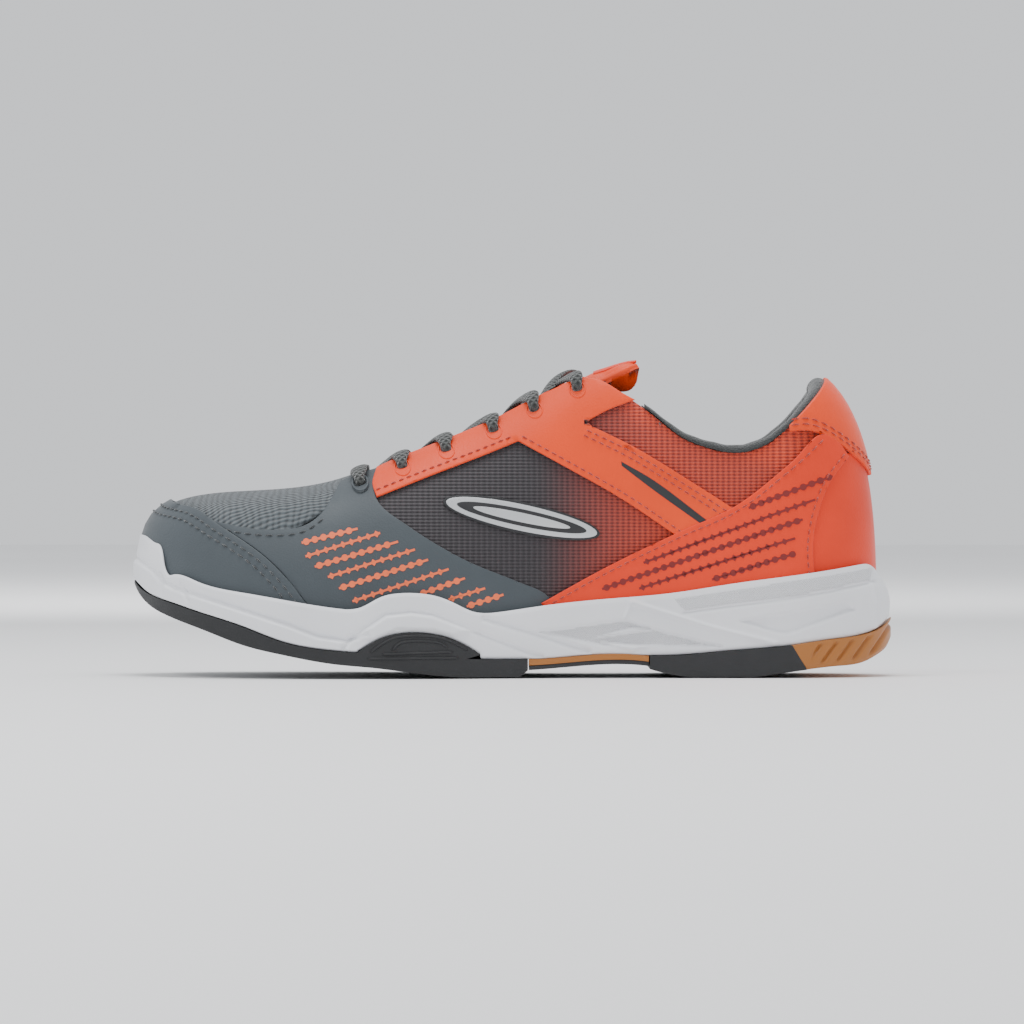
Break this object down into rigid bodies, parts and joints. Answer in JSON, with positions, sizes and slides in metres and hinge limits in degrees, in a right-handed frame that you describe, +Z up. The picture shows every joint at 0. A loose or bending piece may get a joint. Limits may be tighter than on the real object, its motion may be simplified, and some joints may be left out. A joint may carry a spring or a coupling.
{
  "type": "court shoe",
  "caption": "Low-cut indoor court shoe, left foot, with laced upper, padded collar, hinged tongue, cupped foam midsole and rubber outsole with gum heel.",
  "frame": {"origin": "middle of the bounding box in plan, on the ground under the sole", "axes": "+X to the toe, +Y to the wearer's left (lateral side), +Z up"},
  "size_m": [0.2894, 0.1068, 0.1182],
  "materials": {
    "midsole_foam": "matte moulded foam",
    "black_rubber": "matte",
    "gum_rubber": "satin gum",
    "shank_plastic": "matte",
    "board": "non-woven",
    "insole_cloth": "brushed knit",
    "grey_synthetic": "matte synthetic",
    "stiffener": "matte",
    "lining_cloth": "knit",
    "vamp_mesh": "engineered mesh",
    "quarter_mesh": "engineered mesh",
    "orange_synthetic": "satin synthetic",
    "foam": "open cell",
    "lace": "braided",
    "aglet_plastic": "gloss",
    "silver_badge": "metallic film"
  },
  "bodies": {
    "shoe": {"aglet_lateral": "aglet_plastic", "aglet_medial": "aglet_plastic", "back_tab": "orange_synthetic", "collar_foam": "foam", "collar_lining": "lining_cloth", "collar_roll": "lining_cloth", "eyestay_lateral": "orange_synthetic", "eyestay_lining_lateral": "lining_cloth", "eyestay_lining_medial": "lining_cloth", "eyestay_medial": "orange_synthetic", "heel_counter": "stiffener", "heel_foxing": "orange_synthetic", "heel_wing_lateral": "orange_synthetic", "heel_wing_medial": "orange_synthetic", "lace": "lace", "lace_tail_lateral": "lace", "lace_tail_medial": "lace", "midsole": "midsole_foam", "outsole_arch_gum": "gum_rubber", "outsole_forefoot": "black_rubber", "outsole_heel_gum": "gum_rubber", "outsole_rearfoot": "black_rubber", "quarter_mesh_lateral": "quarter_mesh", "quarter_mesh_medial": "quarter_mesh", "quarter_strap_lateral": "orange_synthetic", "quarter_strap_medial": "orange_synthetic", "side_badge_lateral": "silver_badge", "side_badge_medial": "silver_badge", "sockliner": "insole_cloth", "strobel_board": "board", "toe_cap": "grey_synthetic", "toe_lining": "lining_cloth", "toe_puff": "stiffener", "torsion_shank": "shank_plastic", "vamp_lining": "lining_cloth", "vamp_mesh": "vamp_mesh", "vamp_overlay_lateral": "grey_synthetic", "vamp_overlay_medial": "grey_synthetic"},
    "tongue": {"tongue_face": "orange_synthetic", "tongue_foam": "foam", "tongue_lining": "lining_cloth"}
  },
  "joints": [
    {"name": "tongue_hinge", "type": "hinge", "parent": "shoe", "child": "tongue", "pos_m": [0.0655, 0, 0.0665], "axis": [0, -1, 0], "range_deg": [0, 6]}
  ]
}
